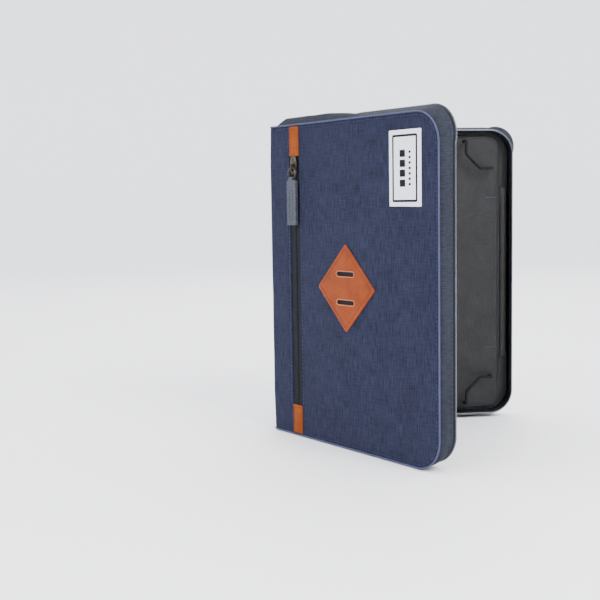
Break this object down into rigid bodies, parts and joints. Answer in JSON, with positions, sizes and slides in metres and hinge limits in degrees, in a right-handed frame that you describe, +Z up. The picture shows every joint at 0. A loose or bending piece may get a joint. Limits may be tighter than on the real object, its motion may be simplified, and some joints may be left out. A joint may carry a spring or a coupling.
{
  "type": "tablet case",
  "caption": "Zip-around folio case with a hinged panel that holds a tablet by elastic corner loops and swings out to prop it up, and a zipped pocket on its front cover.",
  "frame": {"origin": "middle of the back cover's bottom edge, on the surface that the case stands on", "axes": "+Z up along the spine, +X along the back cover from the spine to the zip side, -Y towards the inside of the back cover"},
  "size_m": [0.2294, 0.2137, 0.2723],
  "materials": {
    "navy_canvas": "heathered navy polyester canvas",
    "grey_twill": "grey-navy twill with a diagonal rib",
    "piping": "turned and stitched navy edge",
    "black_lining": "smooth black lining with a faint satin sheen",
    "black_leather": "fine-grained black faux leather",
    "stiff_board": "plain grey-brown board, sealed inside",
    "zip_tape": "ribbed dark tape",
    "zip_coil": "dark nylon coil",
    "tan_leather": "tan faux leather with dark pebbled grain",
    "white_label": "white satin weave with a black woven frame",
    "grey_loop": "soft brushed grey loop fabric",
    "black_elastic": "braided round elastic cord",
    "black_hook": "stiff black hook fabric",
    "antique_metal": "antiqued gunmetal and brass, worn bright on the edges",
    "puller_fabric": "folded blue-grey webbing with stitched edges"
  },
  "bodies": {
    "back_cover": {"back_skin": "navy_canvas", "back_board": "stiff_board", "back_lining": "black_lining", "back_piping": "piping", "back_gusset": "grey_twill", "back_gusset_lining": "black_lining", "back_zip_tape": "zip_tape", "back_zip_coil": "zip_coil", "flap_anchor": "black_leather"},
    "spine": {"spine_skin": "navy_canvas", "spine_board": "stiff_board", "spine_lining": "black_lining", "spine_fold_back": "navy_canvas", "spine_fold_front": "navy_canvas"},
    "front_cover": {"front_skin": "navy_canvas", "pocket_bag": "black_lining", "front_board": "stiff_board", "front_lining": "black_lining", "front_piping": "piping", "front_gusset": "grey_twill", "front_gusset_lining": "black_lining", "front_zip_tape": "zip_tape", "front_zip_coil": "zip_coil", "slip_pocket": "black_leather", "landing_strip": "grey_loop", "pocket_tape_spine_side": "zip_tape", "pocket_tape_zip_side": "zip_tape", "pocket_coil": "zip_coil", "tab_bottom": "tan_leather", "tab_top": "tan_leather", "leather_patch": "tan_leather", "patch_backing": "black_lining", "woven_label": "white_label"},
    "hinge_flap": {"hinge_flap": "black_leather"},
    "tablet_panel": {"panel_binding": "black_leather", "panel_back": "black_lining", "panel_board": "stiff_board", "panel_face": "black_leather", "hook_tab": "black_hook", "loop_top_right": "black_elastic", "loop_top_left": "black_elastic", "loop_bottom_right": "black_elastic", "loop_bottom_left": "black_elastic"},
    "pocket_slider": {"pocket_slider": "antique_metal"},
    "pocket_ring": {"pocket_ring": "antique_metal"},
    "pocket_puller": {"pocket_puller": "puller_fabric"},
    "main_slider": {"main_slider": "antique_metal"},
    "main_ring": {"main_ring": "antique_metal"},
    "main_puller": {"main_puller": "puller_fabric"}
  },
  "joints": [
    {"name": "back_fold", "type": "hinge", "parent": "back_cover", "child": "spine", "pos_m": [-0.106, 0, 0], "axis": [0, 0, -1], "range_deg": [-30, 60]},
    {"name": "front_fold", "type": "hinge", "parent": "spine", "child": "front_cover", "pos_m": [-0.1224, -0.02841, 0], "axis": [0, 0, -1], "range_deg": [-30, 60]},
    {"name": "flap_fold", "type": "hinge", "parent": "back_cover", "child": "hinge_flap", "pos_m": [0.1004, -0.0072, 0], "axis": [0, 0, 1], "range_deg": [0, 30]},
    {"name": "panel_fold", "type": "hinge", "parent": "hinge_flap", "child": "tablet_panel", "pos_m": [0.0924, -0.0072, 0], "axis": [0, 0, 1], "range_deg": [0, 30]},
    {"name": "pocket_slide", "type": "slide", "parent": "front_cover", "child": "pocket_slider", "axis": [0, 0, -1], "range_m": [0, 0.18]},
    {"name": "pocket_ring_swing", "type": "hinge", "parent": "pocket_slider", "child": "pocket_ring", "pos_m": [-0.1072, -0.06212, 0.233], "axis": [-0.5, 0.866, 0], "range_deg": [0, 100]},
    {"name": "pocket_puller_swing", "type": "hinge", "parent": "pocket_ring", "child": "pocket_puller", "pos_m": [-0.1072, -0.06212, 0.223], "axis": [-0.5, 0.866, 0], "range_deg": [0, 60]},
    {"name": "main_slide", "type": "slide", "parent": "back_cover", "child": "main_slider", "axis": [1, 0, 0], "range_m": [0, 0.165]},
    {"name": "main_ring_swing", "type": "hinge", "parent": "main_slider", "child": "main_ring", "pos_m": [-0.0948, -0.0157, 0.2702], "axis": [0, -1, 0], "range_deg": [0, 120]},
    {"name": "main_puller_swing", "type": "hinge", "parent": "main_ring", "child": "main_puller", "pos_m": [-0.0848, -0.0157, 0.2702], "axis": [0, -1, 0], "range_deg": [0, 50]}
  ],
  "couplings": [
    {"joint": "front_fold", "follows": "back_fold", "ratio": 1},
    {"joint": "panel_fold", "follows": "flap_fold", "ratio": 1}
  ]
}
